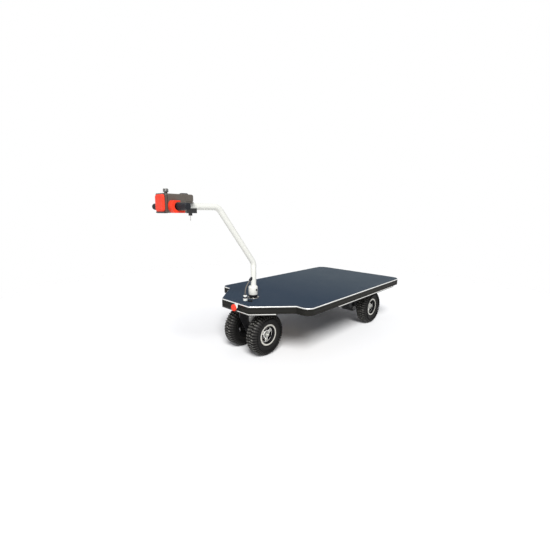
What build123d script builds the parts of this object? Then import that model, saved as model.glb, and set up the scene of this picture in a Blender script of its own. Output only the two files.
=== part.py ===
from build123d import *
import os
from math import cos, hypot, radians, sin, tan

# Electric platform cart, stored as it parks: wheels straight, tiller forward.
# Millimetres, +X forward, +Y to the cart's left, +Z up, floor at Z = 0.
# Sub-parts are laid out from the steering axis and moved once, on saving.

# Clearances
RUN_GAP = 0.05            # radial, round a turning shaft
SEAT_GAP = 0.4            # between curved faces that only sit together
END_GAP = 1.0             # end play beside a hub

# Tyres: 10 inch pneumatic with block tread
WHEEL_R = 130.0           # over the lugs
TYRE_W = 84.0
LUG_COUNT = 44
LUG_H = 6.0
LUG_W = 10.5
LUG_FOOT_R = 99.0         # where the lugs run out on the side wall
LUG_SIDE = 2.0            # lugs proud of the side wall
LUG_SLOPE = 12.0          # from the lugs' foot up to their full width
CROWN_HALF = 28.0         # flat of the tread, each side of the middle
WALL_R = 88.0             # widest part of the side wall
BEAD_CLEAR = 1.0          # bead above the rim's flange

# Rims: cast, three broad spokes
RIM_FLANGE_R = 67.0
RIM_FLANGE_T = 4.0
RIM_SEAT_HALF = 28.0      # half the width between the two flanges
RIM_BARREL_R = 54.0
RIM_BARREL_WALL = 5.0
RIM_LIP_R = 57.0          # inner edge of the rolled lip
RIM_HUB_R = 22.0
RIM_HUB_IN = 36.0         # hub ends, from the wheel's middle plane
RIM_HUB_OUT = 16.0
RIM_WEB_Y = (3.0, 13.0)   # spoke web, from the wheel's middle plane outwards
RIM_SPOKES = 3
RIM_SPOKE_W = 23.0
RIM_WINDOW_R = 4.0        # corner radius of the openings between the spokes
RIM_WINDOW_RIB = 3.0      # from the openings to the hub and the barrel
FRONT_TURN = 90.0         # where the first spoke stands: down in front, back behind
REAR_TURN = 180.0

# Axles
WHEELBASE = 1006.0
FRONT_TRACK_HALF = 106.0  # close twin pair under the nose
REAR_TRACK_HALF = 275.0
FRONT_AXLE_R = 10.0
AXLE_SPACER_R = 16.0
AXLE_CAP_R = 15.0
AXLE_CAP_T = 6.0
REAR_SHAFT_R = 12.5
REAR_SHAFT_GRIP = 40.0    # length of half shaft inside the axle tube
AXLE_TUBE_R = 25.0
AXLE_END_GAP = 5.0        # from the axle tube to the wheel's hub
AXLE_COLLAR_R = 34.0
AXLE_COLLAR_T = 8.0
GEAR_R = 50.0
GEAR_NECK_R = 36.0
GEAR_COVER_R = 46.0
GEAR_COVER_T = 12.0
GEAR_SLOPE = 20.0         # length of the housing's sloping side
GEAR_Y = (-46.0, 60.0)
MOTOR_R = 70.0
MOTOR_END_R = 58.0
MOTOR_END_L = 14.0
MOTOR_GAP = 16.0          # from the motor to the hanger's collar
HANGER_IN = 50.0          # from the axle tube's end in to the hanger
HANGER_T = 12.0
HANGER_HALF = 58.0
HANGER_FOOT = 16.0        # metal each side of the axle tube

# Deck
TYRE_CLEAR = 25.0         # from the tyres up to the plates
PLATE_T = 8.0
PLATE_INSET = 0.5         # from the bumper's face
PLATE_CORNER_R = 12.0
FRAME_H = 33.0
BUMPER_OUT = 8.0          # past the mat's outline
BUMPER_IN = 14.0          # inside the mat's outline
BUMPER_EDGE_R = 2.0
BUMPER_GROOVE = (3.0, 1.5)  # height and depth of its two grooves
BUMPER_RIB = 10.0         # from the bumper's edges to the grooves
BOARD_T = 10.0
MAT_T = 4.0
TRIM_W = 8.0
TRIM_H = 6.0
TRIM_EDGE_R = 2.5
DECK_CORNERS = (
    # x, half width, corner radius
    (141.0, 123.0, 8.0),
    (-63.0, 306.0, 8.0),
    (-63.0, 395.0, 42.0),
    (-1284.0, 395.0, 62.0),
)
NOSE_PLATE_TURN_X = 24.0  # where the nose plate leaves the deck's edge
NOSE_PLATE_TAIL = (170.0, 110.0)  # half widths of its tail
NOSE_PLATE_END = -140.0
AXLE_PLATE_FORE = 646.0   # ahead of the rear axle
AXLE_PLATE_AFT = 174.0
RAIL_Y = 210.0
RAIL_W = 40.0
RAIL_FRONT_X = -60.0
RAIL_REAR_GAP = 44.0      # to the mat's rear edge
CROSS_X = (-150.0, -425.0, -800.0, -1200.0)
CROSS_END_GAP = 20.0      # to the bumper
BATTERY_SIZE = (380.0, 330.0, 118.0)
BATTERY_GAP = 136.0       # from the motor forward to the battery
BATTERY_EDGE_R = 14.0
BATTERY_LID = (18.0, 5.0) # height and overhang of its lid

# Steering column
SHAFT_R = 15.0
SHAFT_NECK_R = 12.0
BEARING_R = 34.0
DECK_HOLE_R = 24.0
FLANGE_R = 36.0
FLANGE_T = 6.0
NUT_R = 26.0
NUT_H = 11.0
NUT_NECK_R = 18.0
NUT_NECK_H = 6.0
NUT_GAP = 1.0
COLLAR_R = 29.0
COLLAR_H = 54.0
COLLAR_LEDGE = 27.0       # up to where the tube stands in the collar
COLLAR_TOP = (7.0, 5.0)   # slope of its top, down and in
TUBE_R = 17.0
TUBE_WALL = 2.5
TUBE_BACK = 4.0           # the tube's foot behind the steering axis
TUBE_BEND_R = 55.0
KNEE_RISE = 223.0         # deck to the tube's lower bend
ELBOW_X = 252.0
TILLER_RISE = 555.0       # deck to the tube's level run
TILLER_REACH = 467.0      # steering axis to the control head
YOKE_DROP = 8.0           # from the nose plate down to the yoke
YOKE_T = 8.0
YOKE_BEND_R = 14.0
YOKE_HALF_X = 76.0
YOKE_HALF_Y = 48.0
YOKE_CHEEK = 60.0         # straight part of the yoke's sides
YOKE_FOOT_R = 30.0
YOKE_BOSS_R = 24.0

# Control head, from the end of the tube's level run
HEAD_L = 110.0
HEAD_OVERHANG = 39.0
HEAD_HALF = 45.0
HEAD_DROP = 32.0          # below the tube's axis
HEAD_STEP = 20.0          # underside of the overhang, above it
HEAD_RISE = 56.0
HEAD_CORNER_R = 9.0
HEAD_EDGE_R = 5.0
BEZEL_PROUD = 1.5
BEZEL_GAP = 1.0           # to the thumb levers
PAD_T = 9.0
PAD_HALF = 41.0
PAD_DROP = 27.0
PAD_RISE = 53.0
PAD_CORNER_R = 15.0
PAD_EDGE_R = 8.0
LIP_L = 5.0
BAR_FORE = 62.0
BAR_DROP = 2.0
BAR_R = 12.0
GRIP_R = 16.0
GRIP_START = 82.0
GRIP_L = 74.0
GRIP_DOME = 4.0
PADDLE_END = 78.0         # from the middle of the head
PADDLE_R = 36.0
PADDLE_BORE_R = 19.0
PADDLE_RISE = 27.0
PADDLE_DROP = 30.0
PADDLE_TIP = 10.0         # upper arm, behind the grip's axis
PADDLE_HEEL = 32.5        # lower arm
PADDLE_EDGE_R = 2.5
KNOB_FORE = 81.0
KNOB_R = 12.5
KNOB_H = 16.0
KNOB_EDGE_R = 4.0
KNOB_NECK_R = 8.0
KNOB_NECK_H = 8.0
GAUGE_BACK = 12.0
GAUGE_L = 40.0
GAUGE_W = 30.0
GAUGE_H = 7.0
GAUGE_TAPER = 40.0
SWITCH_BACK = 74.0        # from the head back to the key switch's rear
SWITCH_L = 44.0
SWITCH_HALF = 15.0
SWITCH_H = 16.0           # below the tube
SWITCH_SADDLE = 8.0       # up the tube's sides
LOCK_BACK = 45.0
LOCK_R = 9.5
LOCK_L = 12.0
KEY_T = 2.0
KEY_STEM = (7.0, 9.0)     # width and length
KEY_BOW_R = 9.0
KEY_HOLE_R = 3.5
KEY_TURN = 60.0

# Deck fittings
GLAND_POS = (77.0, 13.0)
GLAND_NUT_R = 14.0
GLAND_NUT_H = 14.0
GLAND_WAIST_R = 9.0
GLAND_WAIST_H = 10.0
GLAND_CAP_R = 11.0
GLAND_CAP_H = 10.0
GLAND_EDGE_R = 3.0
STOP_POS = (21.0, 24.0)       # to the left, and above the bumper's lower edge
STOP_R = 20.5
STOP_HEAD_T = 9.0
STOP_STEM_R = 10.0
STOP_STEM_L = 18.0
STOP_EDGE_R = 5.0
STOP_PLATE_POS = (16.0, 32.0)
STOP_PLATE_T = 4.0
STOP_PLATE_W = 24.0
STOP_PLATE_H = 24.0
STOP_PLATE_R = 3.0

# Control cable: straight runs with tangent arcs, from the column to the gland
CABLE_R = 3.75
CABLE_FIRST_RUN = 26.0
CABLE_LAST_RUN = 14.0
CABLE_BENDS = ((63.9, 6.2, 78.4), (73.4, 10.9, 62.2))  # x, y, height over the deck
GROMMET_RISE = 125.0      # deck to where the grommet's axis meets the tube
GROMMET_R = 7.5
GROMMET_REACH = 14.0      # along its axis, which points forward and down
GROMMET_ROOT = 10.0
GROMMET_TILT = 45.0

# Levels and places that follow from the sizes
AXLE_TUBE_END = REAR_TRACK_HALF - RIM_HUB_IN - AXLE_END_GAP
HANGER_Y = AXLE_TUBE_END - HANGER_IN
PLATE_Z = 2 * WHEEL_R + TYRE_CLEAR
BUMPER_Z = PLATE_Z + PLATE_T
BOARD_Z = BUMPER_Z + FRAME_H
MAT_Z = BOARD_Z + BOARD_T
DECK_Z = MAT_Z + MAT_T
TRIM_Z = DECK_Z - TRIM_H
NUT_Z = DECK_Z + FLANGE_T + NUT_GAP
COLLAR_Z = NUT_Z + NUT_H + NUT_NECK_H
LEDGE_Z = COLLAR_Z + COLLAR_LEDGE
TILLER_Z = DECK_Z + TILLER_RISE
HEAD_X = TILLER_REACH + HEAD_L
HEAD_TOP = TILLER_Z + HEAD_RISE
BAR_X = TILLER_REACH + BAR_FORE
BAR_Z = TILLER_Z - BAR_DROP
BEZEL_X = BAR_X + PADDLE_R + BEZEL_GAP
LOCK_Z = TILLER_Z - TUBE_R - SWITCH_H
NOSE_X = DECK_CORNERS[0][0] + BUMPER_OUT
REAR_X = DECK_CORNERS[-1][0] - BUMPER_OUT
# The origin is on the floor under the middle of the whole cart.
STEER_X = -(HEAD_X + PAD_T + REAR_X) / 2

UP = (Align.CENTER, Align.CENTER, Align.MIN)
CUT = 1.0                 # how far a cutting shape passes what it cuts


def save(name, shape):
    shape = Pos(STEER_X, 0, 0) * shape
    shape.label = name
    export_step(shape, f"parts/{name}.step")


def extruded(outline, low, high):
    return Pos(0, 0, low) * extrude(outline, amount=high - low)


def box(x, y, z):
    size = (x[1] - x[0], y[1] - y[0], z[1] - z[0])
    middle = ((x[0] + x[1]) / 2, (y[0] + y[1]) / 2, (z[0] + z[1]) / 2)
    return Pos(*middle) * Box(*size)


def disc(radius, low, high, x=0.0, y=0.0):
    return Pos(x, y, low) * Cylinder(radius, high - low, align=UP)


def across(radius, low, high, x=0.0, z=0.0):
    # cylinder along Y
    return Pos(x, low, z) * Rot(-90, 0, 0) * Cylinder(radius, high - low, align=UP)


def turned(points):
    # (radius, y) outline turned about the Y axis
    outline = make_face(Polyline(*[(r, y, 0) for r, y in points], close=True))
    return revolve(outline, axis=Axis.Y)


def mirrored(half):
    # both halves of a (radius, y) outline that is alike each side of y = 0
    return half + [(r, -y) for r, y in reversed(half)]


def upright(outline, y_low, y_high):
    # (x, z) outline drawn out along Y
    return Pos(0, y_high, 0) * extrude(Plane.XZ * outline, amount=y_high - y_low)


def sides(side, low, high):
    return sorted((side * low, side * high))


# Deck outline, offset outwards by a margin
def deck_outline(margin=0.0):
    left = [(x, y) for x, y, _ in DECK_CORNERS]
    right = [(x, -y) for x, y, _ in reversed(DECK_CORNERS)]
    outline = make_face(Polyline(*left, *right, close=True))
    for x, y, radius in DECK_CORNERS:
        for side in (1, -1):
            corner = min(outline.vertices(), key=lambda v: hypot(v.X - x, v.Y - side * y))
            outline = fillet(corner, radius)
    if margin:
        outline = offset(outline, amount=margin, kind=Kind.INTERSECTION)
    return outline


def deck_mat():
    return extruded(deck_outline(-SEAT_GAP), MAT_Z, DECK_Z) - disc(DECK_HOLE_R, MAT_Z - CUT, DECK_Z + CUT)


def deck_board():
    return extruded(deck_outline(-SEAT_GAP), BOARD_Z, MAT_Z) - disc(DECK_HOLE_R, BOARD_Z - CUT, MAT_Z + CUT)


def edge_trim():
    strip = extruded(deck_outline(TRIM_W) - deck_outline(), TRIM_Z, DECK_Z)
    return fillet(strip.faces().sort_by(Axis.Z)[-1].outer_wire().edges(), TRIM_EDGE_R)


# Rubber edge with two grooves along it, its upper lip round the board
def edge_bumper():
    rubber = extruded(deck_outline(BUMPER_OUT), BUMPER_Z, TRIM_Z)
    rubber = fillet(rubber.faces().sort_by(Axis.Z)[0].outer_wire().edges(), BUMPER_EDGE_R)
    height, depth = BUMPER_GROOVE
    groove = deck_outline(BUMPER_OUT + CUT) - deck_outline(BUMPER_OUT - depth)
    for low in (BUMPER_Z + BUMPER_RIB, TRIM_Z - BUMPER_RIB - height):
        rubber -= extruded(groove, low, low + height)
    rubber -= extruded(deck_outline(-BUMPER_IN), BUMPER_Z - CUT, BOARD_Z)
    return rubber - extruded(deck_outline(), BOARD_Z, TRIM_Z + CUT)


def deck_frame():
    half = RAIL_W / 2
    rails = (DECK_CORNERS[-1][0] + RAIL_REAR_GAP, RAIL_FRONT_X)
    reach = DECK_CORNERS[-1][1] - BUMPER_IN - CROSS_END_GAP
    level = (BUMPER_Z, BOARD_Z)
    members = [box(rails, (s * RAIL_Y - half, s * RAIL_Y + half), level) for s in (1, -1)]
    members += [box((x - half, x + half), (-reach, reach), level) for x in CROSS_X]
    frame = members[0]
    for member in members[1:]:
        frame += member
    return frame.clean()


# Steel plates under the deck that carry the steering and the drive axle
def nose_plate():
    reach = NOSE_X - NOSE_PLATE_TURN_X
    fore = Pos(NOSE_PLATE_TURN_X + reach / 2, 0) * Rectangle(reach, 2 * DECK_CORNERS[-1][1])
    root, end = NOSE_PLATE_TAIL
    half = [(NOSE_PLATE_TURN_X + CUT, root), (NOSE_PLATE_END, end)]
    tail = make_face(Polyline(*half, *[(x, -y) for x, y in reversed(half)], close=True))
    outline = (deck_outline(BUMPER_OUT - PLATE_INSET) & fore) + tail
    return extruded(outline, PLATE_Z, BUMPER_Z) - disc(DECK_HOLE_R, PLATE_Z - CUT, BUMPER_Z + CUT)


def axle_plate():
    width = 2 * (DECK_CORNERS[-1][1] + BUMPER_OUT - PLATE_INSET)
    middle = -WHEELBASE + (AXLE_PLATE_FORE - AXLE_PLATE_AFT) / 2
    outline = RectangleRounded(AXLE_PLATE_FORE + AXLE_PLATE_AFT, width, PLATE_CORNER_R)
    return extruded(Pos(middle, 0) * outline, PLATE_Z, BUMPER_Z)


# Hanger: its foot sits on the axle tube
def hanger(side):
    low, high = sides(side, HANGER_Y, HANGER_Y + HANGER_T)
    foot = AXLE_TUBE_R + HANGER_FOOT
    outline = make_face(
        Polyline(
            (-WHEELBASE - HANGER_HALF, PLATE_Z), (-WHEELBASE + HANGER_HALF, PLATE_Z),
            (-WHEELBASE + foot, WHEEL_R), (-WHEELBASE - foot, WHEEL_R), close=True,
        )
    )
    plate = upright(outline, low, high)
    return plate - across(AXLE_TUBE_R + SEAT_GAP, low - CUT, high + CUT, -WHEELBASE, WHEEL_R)


# Drive axle: gear housing with a tube each side and collars that seat on the hangers
def drive_axle():
    low, high = GEAR_Y
    collar = HANGER_Y - AXLE_COLLAR_T
    housing = [
        (0, -AXLE_TUBE_END), (AXLE_TUBE_R, -AXLE_TUBE_END), (AXLE_TUBE_R, -HANGER_Y),
        (AXLE_COLLAR_R, -HANGER_Y), (AXLE_COLLAR_R, -collar), (AXLE_TUBE_R, -collar),
        (AXLE_TUBE_R, low - GEAR_COVER_T), (GEAR_NECK_R, low), (GEAR_R, low + GEAR_SLOPE),
        (GEAR_R, high - GEAR_COVER_T), (GEAR_COVER_R, high - GEAR_COVER_T), (GEAR_COVER_R, high),
        (AXLE_TUBE_R, high), (AXLE_TUBE_R, collar), (AXLE_COLLAR_R, collar), (AXLE_COLLAR_R, HANGER_Y),
        (AXLE_TUBE_R, HANGER_Y), (AXLE_TUBE_R, AXLE_TUBE_END), (0, AXLE_TUBE_END),
    ]
    axle = Pos(-WHEELBASE, 0, WHEEL_R) * turned(housing)
    for side in (1, -1):
        bore = sides(side, AXLE_TUBE_END - REAR_SHAFT_GRIP - END_GAP, AXLE_TUBE_END + CUT)
        axle -= across(REAR_SHAFT_R + RUN_GAP, *bore, -WHEELBASE, WHEEL_R)
    return axle


def drive_motor():
    low = GEAR_Y[1]
    high = HANGER_Y - AXLE_COLLAR_T - MOTOR_GAP
    bore = AXLE_TUBE_R + SEAT_GAP
    outline = [
        (bore, low), (MOTOR_R, low), (MOTOR_R, high - MOTOR_END_L), (MOTOR_END_R, high), (bore, high)
    ]
    return Pos(-WHEELBASE, 0, WHEEL_R) * turned(outline)


def battery_box():
    length, width, height = BATTERY_SIZE
    lid, lip = BATTERY_LID
    middle = Pos(-WHEELBASE + MOTOR_R + BATTERY_GAP + length / 2, 0)
    case = middle * RectangleRounded(length - 2 * lip, width - 2 * lip, BATTERY_EDGE_R - lip)
    cover = middle * RectangleRounded(length, width, BATTERY_EDGE_R)
    return extruded(case, PLATE_Z - height, PLATE_Z - lid) + extruded(cover, PLATE_Z - lid, PLATE_Z)


# Steering column, from the yoke under the nose up to the control head
def steering_bearing():
    return disc(BEARING_R, BUMPER_Z, BOARD_Z) - disc(SHAFT_R + RUN_GAP, BUMPER_Z - CUT, BOARD_Z + CUT)


def column_flange():
    flange = disc(FLANGE_R, DECK_Z, DECK_Z + FLANGE_T)
    return flange - disc(SHAFT_R + END_GAP, DECK_Z - CUT, DECK_Z + FLANGE_T + CUT)


def steering_shaft():
    return disc(SHAFT_R, PLATE_Z, COLLAR_Z) + disc(SHAFT_NECK_R, COLLAR_Z, LEDGE_Z - END_GAP)


def shaft_nut():
    nut = extruded(RegularPolygon(NUT_R, 6), NUT_Z, NUT_Z + NUT_H)
    nut += disc(NUT_NECK_R, NUT_Z + NUT_H, COLLAR_Z)
    return nut - disc(SHAFT_R + SEAT_GAP, NUT_Z - CUT, COLLAR_Z + CUT)


def column_collar():
    top = COLLAR_Z + COLLAR_H
    collar = disc(COLLAR_R, COLLAR_Z, top)
    collar = chamfer(collar.edges().group_by(Axis.Z)[-1], *COLLAR_TOP)
    collar -= disc(SHAFT_NECK_R + SEAT_GAP, COLLAR_Z - CUT, LEDGE_Z + CUT)
    return collar - disc(TUBE_R + SEAT_GAP, LEDGE_Z, top + CUT, -TUBE_BACK)


def tiller_tube():
    foot, knee = (-TUBE_BACK, LEDGE_Z), (-TUBE_BACK, DECK_Z + KNEE_RISE)
    points = (foot, knee, (ELBOW_X, TILLER_Z), (TILLER_REACH, TILLER_Z))
    path = FilletPolyline(*[(x, 0, z) for x, z in points], radius=TUBE_BEND_R)
    section = Pos(-TUBE_BACK, 0, LEDGE_Z) * (Circle(TUBE_R) - Circle(TUBE_R - TUBE_WALL))
    return sweep(section, path=path)


# Fork: one plate bent to a U, its sides cut to a foot round the axle
def fork_yoke():
    top = PLATE_Z - YOKE_DROP
    foot = WHEEL_R - YOKE_FOOT_R
    height = top - foot
    bend = Pos(0, foot + height / 2) * Rectangle(2 * YOKE_HALF_Y, height)
    bend = fillet(bend.vertices().group_by(Axis.Y)[-1], YOKE_BEND_R)
    inside = Pos(0, foot + (height - YOKE_T) / 2) * Rectangle(2 * (YOKE_HALF_Y - YOKE_T), height - YOKE_T)
    inside = fillet(inside.vertices().group_by(Axis.Y)[-1], YOKE_BEND_R - YOKE_T)
    yoke = Pos(-YOKE_HALF_X, 0, 0) * extrude(Plane.YZ * (bend - inside), amount=2 * YOKE_HALF_X)
    outline = make_face(
        Polyline(
            (-YOKE_HALF_X, top), (YOKE_HALF_X, top), (YOKE_HALF_X, top - YOKE_CHEEK),
            (YOKE_FOOT_R, WHEEL_R), (-YOKE_FOOT_R, WHEEL_R), (-YOKE_HALF_X, top - YOKE_CHEEK), close=True,
        )
    ) + Pos(0, WHEEL_R) * Circle(YOKE_FOOT_R)
    yoke &= upright(outline, -YOKE_HALF_Y, YOKE_HALF_Y)
    yoke += disc(YOKE_BOSS_R, top - CUT, PLATE_Z)
    return yoke - across(FRONT_AXLE_R + SEAT_GAP, -YOKE_HALF_Y - CUT, YOKE_HALF_Y + CUT, 0, WHEEL_R)


def front_axle():
    hub_in = FRONT_TRACK_HALF - RIM_HUB_IN - END_GAP
    hub_out = FRONT_TRACK_HALF + RIM_HUB_OUT + END_GAP
    end = hub_out + AXLE_CAP_T
    axle = across(FRONT_AXLE_R, -end, end, 0, WHEEL_R)
    for side in (1, -1):
        axle += across(AXLE_SPACER_R, *sides(side, YOKE_HALF_Y, hub_in), 0, WHEEL_R)
        axle += across(AXLE_CAP_R, *sides(side, hub_out, end), 0, WHEEL_R)
    return axle


# Wheel, centred on its axle with the outer face towards +Y
def tyre():
    half = TYRE_W / 2
    crown = WHEEL_R - LUG_H
    bead = [(RIM_BARREL_R + SEAT_GAP, RIM_SEAT_HALF), (RIM_FLANGE_R + BEAD_CLEAR, RIM_SEAT_HALF)]
    wall = [(WALL_R, half - LUG_SIDE), (LUG_FOOT_R, half - LUG_SIDE)]
    carcass = turned(mirrored(bead + wall + [(crown - LUG_H, CROWN_HALF + LUG_H), (crown, CROWN_HALF)]))
    shoulder = [(LUG_FOOT_R + LUG_SLOPE, half), (crown, CROWN_HALF + LUG_H), (WHEEL_R, CROWN_HALF)]
    tread = turned(mirrored([wall[-1]] + shoulder))
    bar = box((LUG_FOOT_R, WHEEL_R + CUT), (-half, half), (-LUG_W / 2, LUG_W / 2))
    bars = [Rot(0, 360 * n / LUG_COUNT, 0) * bar for n in range(LUG_COUNT)]
    return carcass.fuse(*[tread & lug for lug in bars]).clean()


def rim(bore, turn):
    flange = RIM_SEAT_HALF + RIM_FLANGE_T
    inner = RIM_BARREL_R - RIM_BARREL_WALL
    low, high = RIM_WEB_Y
    half = [
        (inner, RIM_SEAT_HALF - RIM_FLANGE_T), (RIM_LIP_R, flange), (RIM_FLANGE_R, flange),
        (RIM_FLANGE_R, RIM_SEAT_HALF), (RIM_BARREL_R, RIM_SEAT_HALF),
    ]
    wheel = turned(mirrored(half))
    openings = Circle(inner - RIM_WINDOW_RIB) - Circle(RIM_HUB_R + RIM_WINDOW_RIB)
    for n in range(RIM_SPOKES):
        openings -= Rot(0, 0, 360 * n / RIM_SPOKES) * Pos(inner / 2, 0) * Rectangle(inner, RIM_SPOKE_W)
    web = Circle(inner + CUT)
    for opening in openings.faces():
        web -= fillet(opening.vertices(), RIM_WINDOW_R)
    wheel += Rot(0, turn, 0) * upright(web, low, high)
    wheel += across(RIM_HUB_R, -RIM_HUB_IN, RIM_HUB_OUT)
    if bore:
        wheel -= across(bore, -RIM_HUB_IN - CUT, RIM_HUB_OUT + CUT)
    return wheel.clean()


def front_rim():
    return rim(FRONT_AXLE_R + RUN_GAP, FRONT_TURN)


def rear_rim():
    # the half shaft runs in the axle tube
    shaft_end = AXLE_TUBE_END - REAR_SHAFT_GRIP - REAR_TRACK_HALF
    return rim(0, REAR_TURN) + across(REAR_SHAFT_R, shaft_end, -RIM_HUB_IN + CUT)


def at_wheel(shape, x, y):
    if y < 0:
        shape = mirror(shape, about=Plane.XZ)
    return Pos(x, y, WHEEL_R) * shape


# Control head: a moulded shell with a bezel that holds the red front pad
def head_shell():
    bottom = TILLER_Z - HEAD_DROP
    step = TILLER_Z + HEAD_STEP
    rear = TILLER_REACH - HEAD_OVERHANG
    corners = (
        # x, z, rounded
        (HEAD_X, bottom, False), (HEAD_X, HEAD_TOP, False), (rear, HEAD_TOP, True),
        (rear, step, True), (TILLER_REACH, step, False), (TILLER_REACH, bottom, True),
    )
    outline = make_face(Polyline(*[(x, z) for x, z, _ in corners], close=True))
    for x, z, rounded in corners:
        if rounded:
            corner = min(outline.vertices(), key=lambda v: hypot(v.X - x, v.Y - z))
            outline = fillet(corner, HEAD_CORNER_R)
    shell = upright(outline, -HEAD_HALF, HEAD_HALF)
    flanks = shell.faces().filter_by(Axis.Y).edges()
    shell = fillet([e for e in flanks if e.center().X < HEAD_X - CUT], HEAD_EDGE_R)
    height = HEAD_TOP - bottom
    bezel = RectangleRounded(2 * (HEAD_HALF + BEZEL_PROUD), height + 2 * BEZEL_PROUD, HEAD_CORNER_R)
    front = Plane((BEZEL_X, 0, bottom + height / 2), x_dir=(0, 1, 0), z_dir=(1, 0, 0))
    shell += extrude(front * bezel, amount=HEAD_X - BEZEL_X)
    lip = (bottom, TILLER_Z - PAD_DROP - SEAT_GAP)
    return shell + box((HEAD_X - CUT, HEAD_X + LIP_L), (-PAD_HALF, PAD_HALF), lip)


def head_pad():
    middle = TILLER_Z + (PAD_RISE - PAD_DROP) / 2
    face = Plane((HEAD_X, 0, middle), x_dir=(0, 1, 0), z_dir=(1, 0, 0))
    pad = extrude(face * RectangleRounded(2 * PAD_HALF, PAD_DROP + PAD_RISE, PAD_CORNER_R), amount=PAD_T)
    return fillet(pad.faces().sort_by(Axis.X)[-1].edges(), PAD_EDGE_R)


def grip(side):
    end = GRIP_START + GRIP_L
    half = [(0, HEAD_HALF), (BAR_R, HEAD_HALF), (BAR_R, GRIP_START), (GRIP_R, GRIP_START), (GRIP_R, end)]
    half += [(GRIP_R - GRIP_DOME, end + GRIP_DOME), (0, end + GRIP_DOME)]
    return Pos(BAR_X, 0, BAR_Z) * turned([(r, side * y) for r, y in half])


# Thumb lever: a C round the grip, open to the rear, its lower arm longer
def paddle(side):
    low, high = sides(side, HEAD_HALF, PADDLE_END)
    height = PADDLE_RISE + PADDLE_DROP
    lever = Circle(PADDLE_R) & Pos(0, (PADDLE_RISE - PADDLE_DROP) / 2) * Rectangle(2 * PADDLE_R, height)
    arm = PADDLE_DROP - PADDLE_BORE_R
    lever += Pos(-PADDLE_HEEL / 2, -PADDLE_BORE_R - arm / 2) * Rectangle(PADDLE_HEEL, arm)
    lever -= Circle(PADDLE_BORE_R)
    lever -= Pos(-PADDLE_R, 0) * Rectangle(2 * PADDLE_R, 2 * PADDLE_BORE_R)
    lever -= Pos(-PADDLE_TIP - PADDLE_R, PADDLE_R) * Rectangle(2 * PADDLE_R, 2 * PADDLE_R)
    lever = fillet(lever.vertices(), PADDLE_EDGE_R)
    lever = Pos(BAR_X, 0, BAR_Z) * upright(lever, low, high)
    outer = lever.faces().filter_by(Axis.Y).sort_by(Axis.Y)[-1 if side > 0 else 0]
    return fillet(outer.edges(), PADDLE_EDGE_R / 2)


def head_knob():
    x = TILLER_REACH + KNOB_FORE
    low = HEAD_TOP + KNOB_NECK_H
    knob = disc(KNOB_R, low, low + KNOB_H, x)
    knob = fillet(knob.edges().group_by(Axis.Z)[-1], KNOB_EDGE_R)
    return knob + disc(KNOB_NECK_R, HEAD_TOP, low + CUT, x)


def head_gauge():
    base = Rectangle(GAUGE_L, GAUGE_W)
    return Pos(TILLER_REACH - GAUGE_BACK, 0, HEAD_TOP) * extrude(base, amount=GAUGE_H, taper=GAUGE_TAPER)


def key_switch():
    rear = TILLER_REACH - SWITCH_BACK
    half = (-SWITCH_HALF, SWITCH_HALF)
    switch = box((rear, rear + SWITCH_L), half, (LOCK_Z, LOCK_Z + SWITCH_H + SWITCH_SADDLE))
    switch -= Pos(rear, 0, TILLER_Z) * Rot(0, 90, 0) * Cylinder(TUBE_R + SEAT_GAP, 3 * SWITCH_L)
    return switch + disc(LOCK_R, LOCK_Z - LOCK_L, LOCK_Z, TILLER_REACH - LOCK_BACK)


def ignition_key():
    width, length = KEY_STEM
    top = LOCK_Z - LOCK_L
    stem = Pos(0, top - length / 2) * Rectangle(width, length)
    bow = Pos(0, top - length - KEY_BOW_R + CUT) * (Circle(KEY_BOW_R) - Circle(KEY_HOLE_R))
    key = upright(stem + bow, -KEY_T / 2, KEY_T / 2)
    return Pos(TILLER_REACH - LOCK_BACK, 0, 0) * Rot(0, 0, KEY_TURN) * key


# Deck fittings and the cable
def cable_gland():
    x, y = GLAND_POS
    waist = DECK_Z + GLAND_NUT_H
    cap = waist + GLAND_WAIST_H
    gland = Pos(x, y) * extruded(RegularPolygon(GLAND_NUT_R, 6), DECK_Z, waist)
    top = disc(GLAND_CAP_R, cap, cap + GLAND_CAP_H, x, y)
    top = fillet(top.edges().group_by(Axis.Z)[-1], GLAND_EDGE_R)
    return gland + disc(GLAND_WAIST_R, waist, cap, x, y) + top


def grommet_point(reach):
    tilt = radians(GROMMET_TILT)
    return (TUBE_R + reach * cos(tilt), 0.0, DECK_Z + GROMMET_RISE - reach * sin(tilt))


def cable_grommet():
    body = Cylinder(GROMMET_R, GROMMET_REACH + GROMMET_ROOT, align=UP)
    body = Pos(*grommet_point(-GROMMET_ROOT)) * Rot(0, 90 + GROMMET_TILT, 0) * body
    return body - disc(TUBE_R + SEAT_GAP, DECK_Z, DECK_Z + 2 * GROMMET_RISE, -TUBE_BACK)


def cable_route():
    top = DECK_Z + GLAND_NUT_H + GLAND_WAIST_H + GLAND_CAP_H
    bends = [(x, y, DECK_Z + height) for x, y, height in CABLE_BENDS]
    first = [grommet_point(GROMMET_REACH), grommet_point(GROMMET_REACH + CABLE_FIRST_RUN)]
    return [*first, *bends, (*GLAND_POS, top + CABLE_LAST_RUN), (*GLAND_POS, top)]


# Bend radius at each corner of a route: 0.45 of the shorter run over the half turn's tangent
def bend_radii(route):
    points = [Vector(*p) for p in route]
    radii = []
    for a, b, c in zip(points, points[1:], points[2:]):
        turn = radians((b - a).get_angle(c - b))
        radii.append(0.45 * min((b - a).length, (c - b).length) / tan(turn / 2))
    return radii


def control_cable():
    route = cable_route()
    radii = bend_radii(route)
    print("control cable route", [[round(v, 2) for v in p] for p in route])
    print("control cable radii", [round(r, 2) for r in radii])
    path = FilletPolyline(*route, radius=radii)
    print("control cable length", round(path.length, 1))
    return sweep(path.location_at(0) * Circle(CABLE_R), path=path)


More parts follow.
